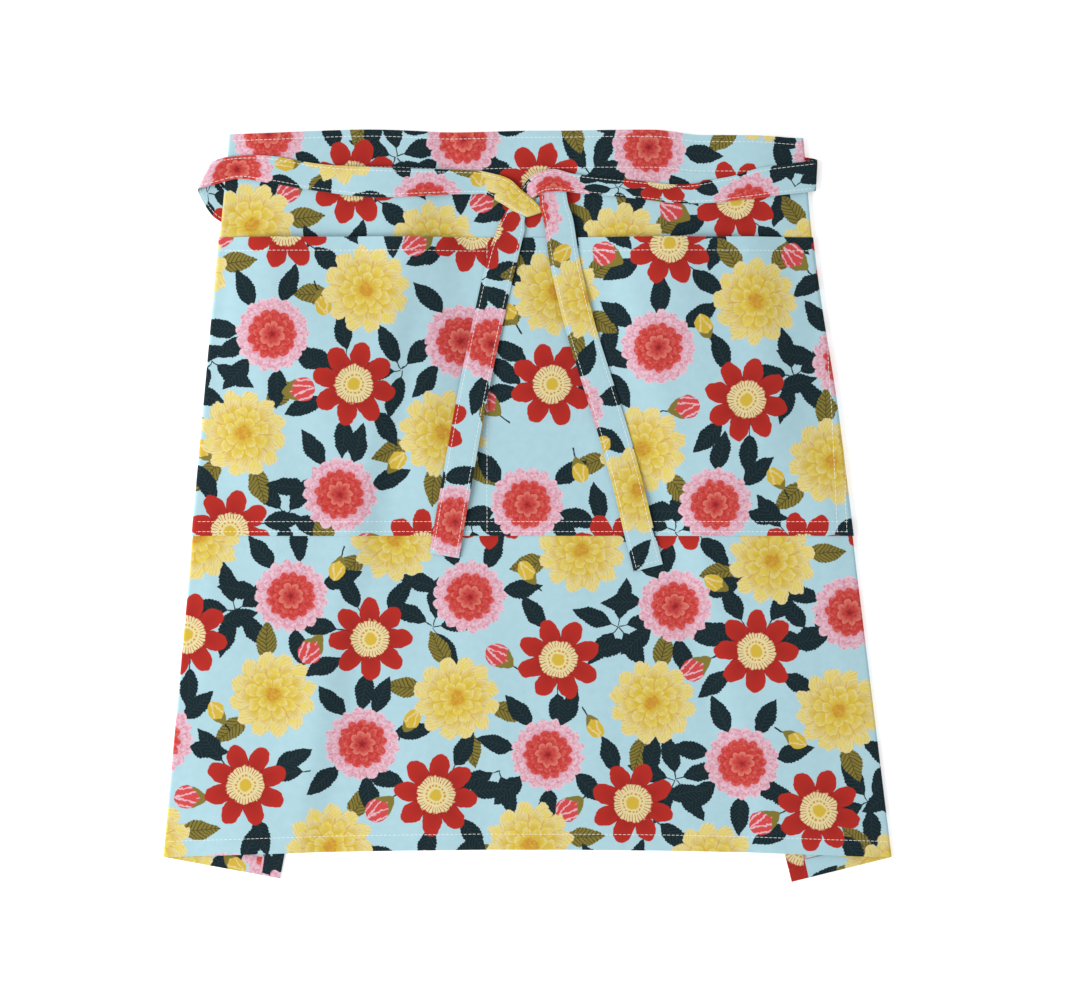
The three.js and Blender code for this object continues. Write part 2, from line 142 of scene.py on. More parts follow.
def past_fold(fold, x, y):
    """How far a point of the flat cloth lies past a fold line, and its foot on that line."""
    across, up = fold["outward"]
    distance = (x - fold["hem"][0]) * across + (y - fold["hem"][1]) * up
    return distance, x - across * distance, y - up * distance


def fold_x(fold, y):
    """Where a fold line crosses each height of the flat cloth."""
    return fold["hem"][0] + fold["along"][0] / fold["along"][1] * y


def flap_beneath(fold, x, y):
    """How far inside the cloth's edge the flap beneath a point is, and which height of it lies there."""
    distance, foot_x, _ = past_fold(fold, x, y)
    beyond = foot_x + fold["outward"][0] * (ARC_LENGTH - distance)
    return fold["sign"] * (fold["edge"] - beyond), y - 2 * distance * fold["outward"][1]


def flap_level(y):
    """The middle of a flap: half its thickness up, and higher from the pocket band beneath it on."""
    lifted = smooth(POCKET_BOTTOM - EASE_OVER_POCKET, POCKET_BOTTOM - FLAP_MARGIN, y)
    return HALF_CLOTH + POCKET_OFFSET * lifted


def middle_level(y):
    """Between the flaps the front lies on its hem, on the floor, or on the ties at the waist."""
    on_hem = HEM_LAYER * (1 - smooth(HEM_HEIGHT, HEM_HEIGHT + EASE_OVER_FLAP, y))
    on_ties = TIE_THICKNESS + CLOTH_GAP + WAISTBAND_THICKNESS - CLOTH_THICKNESS
    at_ties = smooth(POCKET_TOP - 2 * EASE_OVER_FLAP, POCKET_TOP - EASE_OVER_FLAP / 2, y)
    return HALF_CLOTH + on_hem + on_ties * at_ties


def front_level(x, y):
    """The middle of the front: one fold's height above a flap, and the middle level between them."""
    left, right = (np.array(flap_beneath(fold, x, y)) for fold in (LEFT, RIGHT))
    inside, height = np.where(left[0] > right[0], left, right)
    carried = smooth(-FLAP_MARGIN - EASE_OVER_FLAP, -FLAP_MARGIN, inside)
    return mix(middle_level(y), flap_level(height) + 2 * FOLD_RADIUS, carried)


def pinch(x, y):
    """The right fold is drawn in a little below the waist."""
    centre = CLOTH_LENGTH - PINCH_DROP
    along = np.maximum(0, 1 - ((y - centre) / PINCH_HEIGHT) ** 2)
    return PINCH_DEPTH * along**2 * smooth(fold_x(RIGHT, y) - PINCH_REACH, fold_x(RIGHT, y), x)


# %% [markdown]
# ## Wrinkles
# Laid cotton keeps long shallow waves from being folded, and small puckers beside each seam. Every
# layer of the front shares one wrinkle function, so that no layer cuts into the next. It never goes
# below zero, so nothing sinks, and it fades out at the folds and at the knot.

# %% Wrinkle functions
HEM_SEAM = HEM_HEIGHT - 1.5
POCKET_FOOT_SEAMS = [POCKET_BOTTOM + 3, POCKET_BOTTOM + 10]
SEAM_HEIGHTS = [HEM_SEAM, *POCKET_FOOT_SEAMS, POCKET_TOP - 10, BAND_BOTTOM]
PUCKER_DEPTH = 0.16
PUCKER_REACH = 5
FOLD_FADE = 18
KNOT_CENTRE = (-2.0, 455.0)
KNOT_FADE = (32, 62)
WAVE_DEPTH = 1.9
WAVE_SPAN = (-2.5, 3.5)
WAVE_GAIN = (0.7, 1.4)
GAIN_HEIGHTS = (330, 430)
# Rows are (radians a mm across, radians a mm up, phase)
WAVES = [
    (0.035, 0.052, 0.4),
    (-0.061, 0.031, 2.1),
    (0.019, -0.083, 4.0),
    (0.094, 0.022, 1.2),
    (-0.043, -0.047, 5.3),
]


def wrinkle(x, y):
    """Long waves: a sum of sines eased from 0 to 1. Puckers: short sines that fade off the seams."""
    drift = 9 * np.sin(0.021 * x + 0.013 * y)
    total = sum(np.sin(a * (x + drift) + b * y + phase) for a, b, phase in WAVES)
    waves = WAVE_DEPTH * smooth(*WAVE_SPAN, total) * mix(*WAVE_GAIN, smooth(*GAIN_HEIGHTS, y))
    near = sum(np.exp(-(((y - seam) / PUCKER_REACH) ** 2)) for seam in SEAM_HEIGHTS)
    ripple = 0.5 + 0.5 * np.sin(0.62 * x + 1.7 * np.sin(0.13 * x + y))
    inside = np.minimum(x - fold_x(LEFT, y), fold_x(RIGHT, y) - x)
    from_knot = np.hypot(x - KNOT_CENTRE[0], y - KNOT_CENTRE[1])
    fade = smooth(0, FOLD_FADE, inside) * smooth(*KNOT_FADE, from_knot)
    return (waves + PUCKER_DEPTH * near * ripple) * fade


def lay(x, y, height):
    """Lays points of the flat cloth down, at a height above its middle on its right side."""
    spot = np.stack([x - pinch(x, y), y, front_level(x, y) + wrinkle(x, y) + height], -1)
    for fold in (LEFT, RIGHT):
        distance, foot_x, foot_y = past_fold(fold, x, y)
        turned = np.minimum(distance / FOLD_RADIUS, math.pi)
        rest = np.maximum(0, distance - ARC_LENGTH)
        reach = (FOLD_RADIUS + height) * np.sin(turned) - rest
        level = flap_level(y) + FOLD_RADIUS + (FOLD_RADIUS + height) * np.cos(turned)
        place_x = foot_x + fold["outward"][0] * reach
        place_y = foot_y + fold["outward"][1] * reach
        folded = np.stack([place_x - pinch(place_x, place_y), place_y, level], -1)
        spot = np.where((distance > 0)[..., None], folded, spot)
    return spot


# %% [markdown]
# ## The edges settle
# The hem bows up in the middle and the waist edge waves, as they do on a soft cloth. Both shifts act
# on the height of a point before it is laid down, and fade out towards the pocket.

# %% Settling functions
# Rows are (across from fold to fold, rise in waistband heights)
WAIST_WAVE = np.array([
    (-1.0, -0.02), (-0.5, 0.1), (-0.2, 0.03), (0.05, 0.08),
    (0.48, 0.09), (0.66, -0.05), (0.82, -0.06), (1.0, -0.12),
])


def between(x, y):
    """-1 at the left fold, 1 at the right one."""
    left, right = fold_x(LEFT, y), fold_x(RIGHT, y)
    return np.clip((2 * x - left - right) / (right - left), -1, 1)


def waist_rise(x):
    """How far the waist edge rises: the table's rises, eased from row to row."""
    across = between(x, CLOTH_LENGTH)
    after = np.clip(np.searchsorted(WAIST_WAVE[:, 0], across), 1, len(WAIST_WAVE) - 1)
    start, low = np.moveaxis(WAIST_WAVE[after - 1], -1, 0)
    end, high = np.moveaxis(WAIST_WAVE[after], -1, 0)
    return WAISTBAND_HEIGHT * mix(low, high, smooth(start, end, across))


def settled(x, y, height):
    """The place of a point of the flat cloth after the edges have settled."""
    bow = HEM_BOW * (1 - between(x, y) ** 2) * (1 - smooth(0, POCKET_BOTTOM, y))
    return lay(x, y + bow + waist_rise(x) * smooth(POCKET_TOP, CLOTH_LENGTH, y), height)


# %% [markdown]
# ## Cloth grids
# Each cloth piece is a closed thin solid: an outer and an inner face on one grid, with a wall round
# the border. The columns are closer round the folds. A single face with a thickness modifier would
# also do, but then the hem couldn't be thicker than the rest.

# %% Grid functions
FLAP_COLUMNS = 26
ARC_COLUMNS = 10
FRONT_COLUMNS = 172
ROW_PITCH = 3.2
BAND_ROW_PITCH = 2.4
CLOSEST_ROWS = 0.6
SEAM_STEPS = np.array([-6.0, -4.0, -2.5, -1.2, 0.0, 1.2, 2.5, 4.0, 6.0])


def column_lines():
    """For each column its stretch (0 to 4) and its share of that stretch."""
    counts = [FLAP_COLUMNS, ARC_COLUMNS, FRONT_COLUMNS, ARC_COLUMNS, FLAP_COLUMNS]
    lines = [(part, step / count) for part, count in enumerate(counts) for step in range(count)]
    return np.array(lines + [(4, 1.0)])


def fold_stops(fold, y):
    """At each height the cloth's edge, the end of the fold's half turn and the fold line."""
    line = fold_x(fold, y)
    return [np.full_like(y, fold["edge"]), line + ARC_LENGTH / fold["outward"][0], line]


def column_x(y):
    """Where every column crosses the flat cloth at each height of y: one row for each height."""
    stops = np.stack(fold_stops(LEFT, y) + fold_stops(RIGHT, y)[::-1], -1)
    lines = column_lines()
    part = lines[:, 0].astype(int)
    return mix(stops[:, part], stops[:, part + 1], lines[:, 1])


def row_heights(low, high, pitch, seams=()):
    """Even rows, with closer ones beside each seam."""
    even = np.linspace(low, high, int((high - low) / pitch) + 1)
    close = np.array([seam + SEAM_STEPS for seam in seams]).ravel()
    rows = np.sort(np.concatenate([even, close[(close > low) & (close < high)]]))
    keep = np.concatenate([[True], np.diff(rows) > CLOSEST_ROWS])
    keep[-1] = True
    return rows[keep]


def closed_grid(outer, inner):
    """Corners and quads of a solid from two faces on one grid and a wall round them."""
    rows, columns = outer.shape[:2]
    index = np.arange(rows * columns).reshape(rows, columns)
    corners = [index[:-1, :-1], index[:-1, 1:], index[1:, 1:], index[1:, :-1]]
    top = np.stack(corners, -1).reshape(-1, 4)
    below = top[:, ::-1] + index.size
    rim = np.concatenate([index[0], index[1:, -1], index[-1, -2::-1], index[-2:0:-1, 0]])
    ahead = np.roll(rim, -1)
    wall = np.stack([rim, rim + index.size, ahead + index.size, ahead], -1)
    points = np.concatenate([outer.reshape(-1, 3), inner.reshape(-1, 3)])
    return points, np.concatenate([top, below, wall])


SHIFT = np.zeros(3)
SHARP_ANGLE = math.radians(55)


def add_object(name, data):
    """A new object in the scene that holds a mesh, a lamp or a camera."""
    thing = bpy.data.objects.new(name, data)
    bpy.context.collection.objects.link(thing)
    return thing


def add_mesh(name, points, faces, cloth=None, wrong=None):
    """A mesh piece that rides on the apron. cloth holds the print's place of each corner in mm."""
    mesh = bpy.data.meshes.new(name)
    sides = faces.shape[1]
    mesh.vertices.add(len(points))
    mesh.vertices.foreach_set("co", ((points + SHIFT) / 1000).astype(np.float32).ravel())
    mesh.loops.add(faces.size)
    mesh.loops.foreach_set("vertex_index", faces.astype(np.int32).ravel())
    mesh.polygons.add(len(faces))
    mesh.polygons.foreach_set("loop_start", np.arange(0, faces.size, sides, dtype=np.int32))
    mesh.polygons.foreach_set("use_smooth", np.ones(len(faces), bool))
    mesh.update(calc_edges=True)
    if cloth is not None:
        layer = mesh.uv_layers.new(name="cloth")
        layer.data.foreach_set("uv", (cloth[faces.ravel()] / 100).astype(np.float32).ravel())
        side = mesh.attributes.new("wrong_side", "FLOAT", "POINT")
        side.data.foreach_set("value", wrong.astype(np.float32))
        mesh.set_sharp_from_angle(angle=SHARP_ANGLE)
    piece = add_object(name, mesh)
    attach(piece, "root")
    print(name, "corners", len(points), "faces", len(faces))
    return piece


# %% [markdown]
# ## The skirt
# The skirt is one cloth with its hems turned inwards, so only its inner face is thicker there. On
# that inner face the turned hem shows the printed side of the cloth, mirrored over the hem's edge, and
# the rest shows the paler wrong side.


# %% The skirt
BAND_SLIT = 0.03


def skirt_inner(x, y):
    """The inner face's offset, lower in the hems, and which points lie in the side hems or any hem."""
    in_side_hem = np.minimum(x - LEFT["edge"], RIGHT["edge"] - x) < HEM_HEIGHT + CLOTH_GAP
    in_hem = (y < HEM_HEIGHT + CLOTH_GAP) | in_side_hem
    return -HALF_CLOTH - HEM_LAYER * in_hem, in_side_hem, in_hem


skirt_y = row_heights(0, BAND_BOTTOM - BAND_SLIT, ROW_PITCH, SEAM_HEIGHTS[:4])
skirt_x = column_x(skirt_y)
skirt_heights = np.broadcast_to(skirt_y[:, None], skirt_x.shape)
inner_offset, in_side_hem, in_hem = skirt_inner(skirt_x, skirt_heights)
skirt_outer = settled(skirt_x, skirt_heights, np.full_like(skirt_x, HALF_CLOTH))
skirt_beneath = settled(skirt_x, skirt_heights, inner_offset)
skirt_points, skirt_faces = closed_grid(skirt_outer, skirt_beneath)
box_low, box_high = (np.array(corner) * 1000 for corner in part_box("skirt"))
own_low, own_high = skirt_points.min(0), skirt_points.max(0)
SHIFT = np.array(
    [(box_low[0] + box_high[0] - own_low[0] - own_high[0]) / 2, box_low[1] - own_low[1], 0]
)
print("shift to the frame in mm:", SHIFT.round(3), "lowest point:", own_low[2].round(3))

mirrored_x = np.where(skirt_x < 0, 2 * LEFT["edge"] - skirt_x, 2 * RIGHT["edge"] - skirt_x)
mirrored_y = np.where(in_hem & ~in_side_hem, -skirt_heights, skirt_heights)
inner_print = np.stack([np.where(in_side_hem, mirrored_x, skirt_x), mirrored_y], -1)
outer_print = np.stack([skirt_x, skirt_heights], -1)
skirt_print = np.concatenate([outer_print.reshape(-1, 2), inner_print.reshape(-1, 2)])
skirt_wrong = np.concatenate([np.zeros(in_hem.size), 1.0 - in_hem.ravel()])
skirt = add_mesh("apron_skirt", skirt_points, skirt_faces, skirt_print, skirt_wrong)


# %% [markdown]
# ## The pocket band and the waistband
# The pocket band is one cloth over the whole width, stitched down at its foot and its dividers. Its
# mouth stands off the skirt a little between them. The waistband is the casing along the top. Both are
# laid down by the same function as the skirt, at another height above it.


# %% The pocket band and the waistband
POCKET_GAPES = [(0.0, 0.1, 0.34, 0.43), (0.58, 0.7, 0.88, 0.97)]
POCKET_PRINT_SHIFT = np.array([47.0, 31.0])


def gape(x, y):
    """How far the pocket band stands off the skirt."""
    share = (x - fold_x(LEFT, y)) / (fold_x(RIGHT, y) - fold_x(LEFT, y))
    across = [
        smooth(start, full, share) * (1 - smooth(fading, end, share))
        for start, full, fading, end in POCKET_GAPES
    ]
    low, high = POCKET_BOTTOM + POCKET_HEIGHT * GAPE_START, POCKET_BOTTOM + POCKET_HEIGHT * GAPE_RISE
    return POCKET_GAPE * np.maximum(*across) * smooth(low, high, y)


def skirt_face(x, _):
    """The outer face of the skirt and the waistband: half a cloth above the middle of the skirt."""
    return np.full_like(x, HALF_CLOTH)


def pocket_face(x, y):
    """The outer face of the pocket band, above the middle of the skirt."""
    return POCKET_OFFSET + gape(x, y) + HALF_CLOTH


def band_piece(name, heights, outer_offset, inner_offset, print_shift):
    """A cloth band over the full width between two heights."""
    x = column_x(heights)
    y = np.broadcast_to(heights[:, None], x.shape)
    outer = settled(x, y, outer_offset(x, y))
    inner = settled(x, y, inner_offset(x, y))
    points, faces = closed_grid(outer, inner)
    place = np.stack([x, y], -1).reshape(-1, 2) + print_shift
    wrong = np.repeat([0.0, 1.0], x.size)
    return add_mesh(name, points, faces, np.tile(place, (2, 1)), wrong)


pocket_panel = band_piece(
    "pocket_band",
    row_heights(POCKET_BOTTOM, POCKET_TOP, ROW_PITCH, SEAM_HEIGHTS[1:4]),
    pocket_face,
    lambda x, y: POCKET_OFFSET + gape(x, y) - HALF_CLOTH,
    POCKET_PRINT_SHIFT,
)
waistband = band_piece(
    "waistband_casing",
    row_heights(BAND_BOTTOM + BAND_SLIT, CLOTH_LENGTH, BAND_ROW_PITCH),
    skirt_face,
    lambda x, y: np.full_like(x, HALF_CLOTH - WAISTBAND_THICKNESS),
    np.zeros(2),
)

# %% [markdown]
# ## The ties
# Each tie is a flat tube of cloth. It leaves the waistband's end on one flap, passes behind, comes
# round the other fold, takes part in the half knot and ends in a tail. A ribbon along a curve would
# cut into itself where the curve turns over, so the tables hold folds too: there the ribbon makes a
# half turn round a level rod that lies along the crease.

# %% Tables of the ties
# All rows start with (across in half waists, rise in tie widths). Flat rows in front go on with
# (layer, span in tie widths), and fold rows with (layer, next layer, span, heading and crease in
# degrees)
LEFT_BEHIND = [(-0.15, -1.34), (-0.4, -1.4), (-0.72, -1.34), (-0.93, -1.12), (-1.03, -0.75)]
LEFT_SIDE = (-1.097, 0.22, 0, 0, 0.8, 118, 64)
LEFT_FRONT = [
    (-0.983, 0.5, 0, 0.76),
    (-0.862, 0.42, 0, 0.9),
    (-0.71, 0.18, 0, 0.9),
    (-0.507, 0.0, 0, 1),
    (-0.16, 0.02, 0, 0.8),
    (-0.1, -0.02, 0.5, 0.72),
    (-0.047, -0.24, 1.8, 0.84),
    (-0.002, -0.56, 2.15, 0.74),
    (0.068, -1.04, 2.2, 0, 0.52, -38, 18),
    (0.096, -0.7, 0, 0.6),
    (0.11, -0.3, 0, 0.7),
    (0.118, 0.12, 0, 1.25, 0.97, 92, 3),
    (0.127, -0.3, 1.3, 0.9),
    (0.132, -0.75, 2.9, 0.94),
    (0.148, -1.27, 1.0, 0.97),
]
RIGHT_BEHIND = [(-0.16, -0.12), (0.14, 0.3), (0.42, 0.66), (0.75, 0.6)]
RIGHT_SIDE = (1.055, 0.26, 0, 0, 1, -18, 87)
RIGHT_FRONT = [
    (0.88, 0.02, 0, 1),
    (0.74, -0.23, 0, 0.8),
    (0.58, -0.38, 0, 0.62),
    (0.43, -0.24, 0, 0.6),
    (0.3, -0.12, 0.6, 0.6),
    (0.2, -0.02, 2.4, 0.62),
    (0.128, 0.08, 3.0, 0.74),
    (0.074, -0.06, 3.2, 0.66),
    (0.036, -0.36, 1.1, 0.5),
    (0.01, -0.72, 0.5, 0.54),
    (-0.006, -1.12, 0.1, 0.7),
    (-0.018, -1.53, 0.05, 0.9),
]
# Tail rows are (drop, drift to the right) in shares of the tail's drop
LEFT_TAIL = [
    (0.095, -0.028), (0.278, -0.07), (0.544, -0.125), (0.734, -0.159), (0.893, -0.187), (1.0, -0.205),
]
RIGHT_TAIL = [
    (0.112, 0.017), (0.306, 0.063), (0.493, 0.121), (0.605, 0.156),
    (0.758, 0.199), (0.89, 0.231), (1.0, 0.259),
]
# Rows are (distance from the band's end in tie widths, share of the way down to the floor)
SEWN_STEPS = [(0, 0), (0.48, 0.35), (1.38, 1)]


# %% Guide points of the ties
def waist_place(row):
    """The place of a row: its first share in half waists across, its second in tie widths up."""
    return np.array([WAIST_SHIFT + row[0] * HALF_WAIST, TIE_LINE + row[1] * TIE_WIDTH])


def carrier_top(x, y):
    """The top of what lies on the front at a place, or 0 beside the front."""
    on_pocket = (y > POCKET_BOTTOM - FLAP_MARGIN) & (y < POCKET_TOP + FLAP_MARGIN)
    band = np.where(on_pocket, POCKET_OFFSET + gape(x, np.minimum(y, POCKET_TOP)), 0)
    top = front_level(x, y) + wrinkle(x, y) + HALF_CLOTH + band
    return np.where((x < fold_x(LEFT, y)) | (x > fold_x(RIGHT, y)), 0, top)


def tie_height(place, layer):
    """The middle of a tie on the front: half a tie above its top, plus the layers beneath the tie."""
    x = np.clip(place[0], fold_x(LEFT, place[1]), fold_x(RIGHT, place[1]))
    return float(carrier_top(x, place[1])) + CLOTH_GAP + HALF_TIE + layer * LAYER_PITCH


def flat_guide(place, height, span, in_front):
    """A guide where the tie lies flat, whose width direction follows from its run."""
    return {"point": np.array([*place, height]), "span": span, "front": in_front, "width": None}


def level_direction(degrees):
    """The level unit vector at an angle from +X."""
    return np.array([math.cos(math.radians(degrees)), math.sin(math.radians(degrees)), 0])


def fold_guides(row, start, end, hand):
    """Guides of a half turn round a level rod along the crease, from one height to another."""
    across, rise, _, _, span, heading, crease = row
    rod, coming = level_direction(crease), level_direction(heading)
    along_rod = coming @ rod
    outward = unit(coming - along_rod * rod)
    across_rod = coming @ outward
    radius = (end - start) / 2
    length = math.pi * abs(radius) / across_rod
    sense = np.sign(coming[0] * rod[1] - coming[1] * rod[0])
    guides = []
    for share in np.linspace(0, 1, 5):
        point = np.array([*waist_place((across, rise)), (start + end) / 2])
        point += rod * length * along_rod * (share - 0.5)
        point += outward * abs(radius) * (math.sin(math.pi * share) - 1)
        point[2] -= radius * math.cos(math.pi * share)
        width = rod * hand * sense
        guides.append({"point": point, "span": span / across_rod, "front": True, "width": width})
    return guides


def sewn_guides(fold):
    """The tie leaves the end of the waistband on a flap and comes down to the floor."""
    middle = CLOTH_LENGTH - WAISTBAND_HEIGHT / 2
    edge = np.array([fold["edge"], fold["edge"] - fold["sign"] * TIE_WIDTH])
    end, inside = lay(edge, np.full(2, middle), np.zeros(2))
    heading = unit((end - inside)[:2])
    guides = []
    for away, share in SEWN_STEPS:
        place = end[:2] + heading * (CLOTH_GAP + TIE_WIDTH * away)
        guides.append(flat_guide(place, mix(end[2], HALF_TIE, share), 1, False))
    return guides


def tie_guides(sewn_to, behind, side, front, tail, drop):
    """The guides of a whole tie: behind, round the side, along the front, the knot and the tail."""
    guides = sewn_guides(sewn_to)
    guides += [flat_guide(waist_place(row), HALF_TIE, 1, False) for row in behind]
    hand = -1
    guides += fold_guides(side, HALF_TIE, tie_height(waist_place(side), 0), hand)
    for row in front:
        place = waist_place(row)
        if len(row) == 4:
            guides.append(flat_guide(place, tie_height(place, row[2]), row[3], True))
            continue
        hand = -hand
        heights = [tie_height(place, layer) for layer in row[2:4]]
        guides += fold_guides(row, *heights, hand)
    knot_end = waist_place(front[-1])
    for fall, drift in tail:
        place = knot_end + np.array([drift, -fall]) * drop
        guides.append(flat_guide(place, tie_height(place, 0), 1, True))
    return guides


# %% [markdown]
# The middle line of a tie is a centripetal Catmull-Rom curve through its guides, which neither loops
# nor overshoots where guides are close. The ribbon is then raised wherever it would cut into what
# carries it. Its section is a flat lens: full in the middle and thin at the two pressed edges.


# %% Ribbon functions
COARSE_IN_FOLD = 2
FINE_PITCH = 2.4
FINE_IN_FOLD = 6
SECTION = np.linspace(-1, 1, 9)
EDGE_THINNING = 0.62


def run_along(points):
    """The distance from the first point to each point, along the line through them all."""
    return np.concatenate([[0], np.cumsum(np.linalg.norm(np.diff(points, axis=0), axis=1))])


def curve_at(points, at):
    """Places and directions on a centripetal Catmull-Rom curve. at counts in guide steps."""
    step = np.minimum(at.astype(int), len(points) - 2)
    weight = (at - step)[:, None]
    padded = np.vstack([2 * points[0] - points[1], points, 2 * points[-1] - points[-2]])
    p0, p1, p2, p3 = (padded[step + ahead] for ahead in range(4))
    d0, d1, d2 = (
        np.sqrt(np.linalg.norm(b - a, axis=1, keepdims=True)) for a, b in ((p0, p1), (p1, p2), (p2, p3))
    )
    leave = d1 * ((p1 - p0) / d0 - (p2 - p0) / (d0 + d1) + (p2 - p1) / d1)
    arrive = d1 * ((p2 - p1) / d1 - (p3 - p1) / (d1 + d2) + (p3 - p2) / d2)
    square = -3 * p1 + 3 * p2 - 2 * leave - arrive
    cube = 2 * p1 - 2 * p2 + leave + arrive
    place = p1 + weight * (leave + weight * (square + weight * cube))
    slope = leave + weight * (2 * square + 3 * weight * cube)
    return place, unit(slope)


def guide_widths(guides, points):
    """Along a fold the width follows the crease, and elsewhere it is square to the run."""
    _, slopes = curve_at(points, np.arange(len(guides), dtype=float))
    widths, last = [], None
    for guide, slope in zip(guides, slopes):
        width = guide["width"]
        if width is None:
            width = np.array([slope[1], -slope[0], 0]) / math.hypot(slope[0], slope[1])
            if last is not None and last @ width < 0:
                width = -width
        last = width
        widths.append(width)
    return np.array(widths)


def station_steps(guides, pitch, in_fold):
    """Places along the guides, closer where the ribbon folds."""
    at = []
    for step, (guide, after) in enumerate(zip(guides[:-1], guides[1:])):
        reach = np.linalg.norm(after["point"] - guide["point"])
        folding = guide["width"] is not None and after["width"] is not None
        count = in_fold if folding else max(2, math.ceil(reach / pitch))
        at += [step + share / count for share in range(count)]
    return np.array(at + [len(guides) - 1.0])


def stations(guides, at):
    """Place, width direction, run direction and half span at each station."""
    points = np.array([guide["point"] for guide in guides])
    widths = guide_widths(guides, points)
    spans = np.array([guide["span"] for guide in guides])
    step = np.minimum(at.astype(int), len(guides) - 2)
    share = at - step
    place, slope = curve_at(points, at)
    place[:, 2] = np.maximum(place[:, 2], HALF_TIE)
    width = unit(mix(widths[step], widths[step + 1], share[:, None]))
    half = TIE_WIDTH / 2 * mix(spans[step], spans[step + 1], smooth(0, 1, share))
    return place, width, slope, half


def seat_lift(guides, at):
    """How far each station has to rise to clear what carries it, eased over its neighbours."""
    place, width, slope, half = stations(guides, at)
    step = np.minimum(at.astype(int), len(guides) - 2)
    seated = np.array([guides[s]["front"] and guides[s]["width"] is None for s in step])
    needed = np.zeros(len(at))
    for across in (-1, -0.5, 0, 0.5, 1):
        for ahead in (-0.5, 0, 0.5):
            spot = place + width * (across * half)[:, None] + slope * ahead * STATION_PITCH
            clear = carrier_top(spot[:, 0], spot[:, 1]) + CLOTH_GAP + HALF_TIE - place[:, 2]
            needed = np.maximum(needed, np.where(seated, clear, 0))
    count = len(at)
    widest = np.array([needed[max(0, i - 2) : i + 3].max() for i in range(count)])
    return np.array([widest[max(0, i - 1) : i + 2].mean() for i in range(count)])


def ribbon(guides):
    """The fine stations of a tie with the middle, the width and the face direction of each."""
    coarse = station_steps(guides, STATION_PITCH, COARSE_IN_FOLD)
    lift = seat_lift(guides, coarse)
    fine = station_steps(guides, FINE_PITCH, FINE_IN_FOLD)
    place, width, slope, half = stations(guides, fine)
    place[:, 2] += np.interp(fine, coarse, lift)
    normal = unit(np.cross(width, slope))
    return {"place": place, "width": width, "normal": normal, "half": half, "run": run_along(place)}


def tie_piece(name, strip, print_place):
    """A closed flat tube. print_place is where its first end lies on the printed cloth."""
    across = strip["half"][:, None] * SECTION
    middle = strip["place"][:, None] + strip["width"][:, None] * across[..., None]
    thick = HALF_TIE * (1 - EDGE_THINNING * SECTION**6)
    offset = strip["normal"][:, None] * thick[None, :, None]
    points, faces = closed_grid(middle + offset, middle - offset)
    along = np.broadcast_to(strip["run"][:, None], across.shape)
    flat_across = np.broadcast_to(SECTION * TIE_WIDTH / 2, across.shape)
    place = np.stack([along, flat_across], -1).reshape(-1, 2)
    cloth = np.concatenate([place, place + [0, TIE_WIDTH]]) + print_place
    return add_mesh(name, points, faces, cloth, np.zeros(len(points)))


LEFT_TIE_PRINT = np.array([35.0, 150.0])
RIGHT_TIE_PRINT = np.array([110.0, 225.0])
left_strip = ribbon(tie_guides(RIGHT, LEFT_BEHIND, LEFT_SIDE, LEFT_FRONT, RIGHT_TAIL, RIGHT_TAIL_DROP))
right_strip = ribbon(tie_guides(LEFT, RIGHT_BEHIND, RIGHT_SIDE, RIGHT_FRONT, LEFT_TAIL, LEFT_TAIL_DROP))
left_tie = tie_piece("tie_to_right_tail", left_strip, LEFT_TIE_PRINT)
right_tie = tie_piece("tie_to_left_tail", right_strip, RIGHT_TIE_PRINT)
print("tie lengths in mm:", left_strip["run"][-1].round(1), right_strip["run"][-1].round(1))

# %% [markdown]
# ## Stitches
# The seams are lockstitched with white thread, about 3 mm a stitch. A line in the print would look
# flat, so each stitch is a small bead of thread that lies half sunk in the cloth. All the stitches of
# one piece are one mesh, built at once from whole arrays.

# %% Stitch functions
STITCH_PITCH = 3.1
STITCH_LENGTH = 2.45
THREAD_RADIUS = 0.18
BEAD_PLACES = np.array([-0.5, -0.4, 0.0, 0.4, 0.5])
BEAD_GIRTHS = np.array([0.0, 0.8, 1.0, 0.8, 0.0])
BEAD_SIDES = 6
HALF_STITCH = STITCH_LENGTH / 2


def beads(starts, ends, normals):
    """A thin bead of thread from each start to each end: rings of points, flattened at the tips."""
    run = ends - starts
    side = unit(np.cross(run, normals))
    turns = np.arange(BEAD_SIDES) * 2 * math.pi / BEAD_SIDES
    spread = np.cos(turns)[:, None] * side[:, None] + np.sin(turns)[:, None] * normals[:, None]
    middle = (starts + ends)[:, None, None] / 2 + run[:, None, None] * BEAD_PLACES[:, None, None]
    points = middle + THREAD_RADIUS * BEAD_GIRTHS[:, None, None] * spread[:, None]
    ring = np.arange(BEAD_SIDES)
    after = np.roll(ring, -1)
    rows = np.arange(len(BEAD_PLACES) - 1)[:, None] * BEAD_SIDES
    here, beside = rows + ring, rows + after
    quads = np.stack([here, here + BEAD_SIDES, beside + BEAD_SIDES, beside], -1)
    per_bead = len(BEAD_PLACES) * BEAD_SIDES
    faces = quads.reshape(1, -1, 4) + (np.arange(len(starts)) * per_bead)[:, None, None]
    return points.reshape(-1, 3), faces.reshape(-1, 4)


def stitch_middles(length):
    """The middles of the stitches that fit on a line of this length."""
    return (np.arange(int(length / STITCH_PITCH)) + 0.5) * STITCH_PITCH


def cloth_row(line, height):
    """Stitches along a line on the flat cloth. height gives the cloth's face above its middle."""
    run = run_along(line)
    middles = stitch_middles(run[-1])
    ends = []
    for shift in (-HALF_STITCH, HALF_STITCH):
        x = np.interp(middles + shift, run, line[:, 0])
        y = np.interp(middles + shift, run, line[:, 1])
        ends.append(settled(x, y, height(x, y)))
        above = settled(x, y, height(x, y) + 1)
    return ends[0], ends[1], unit(above - ends[1])


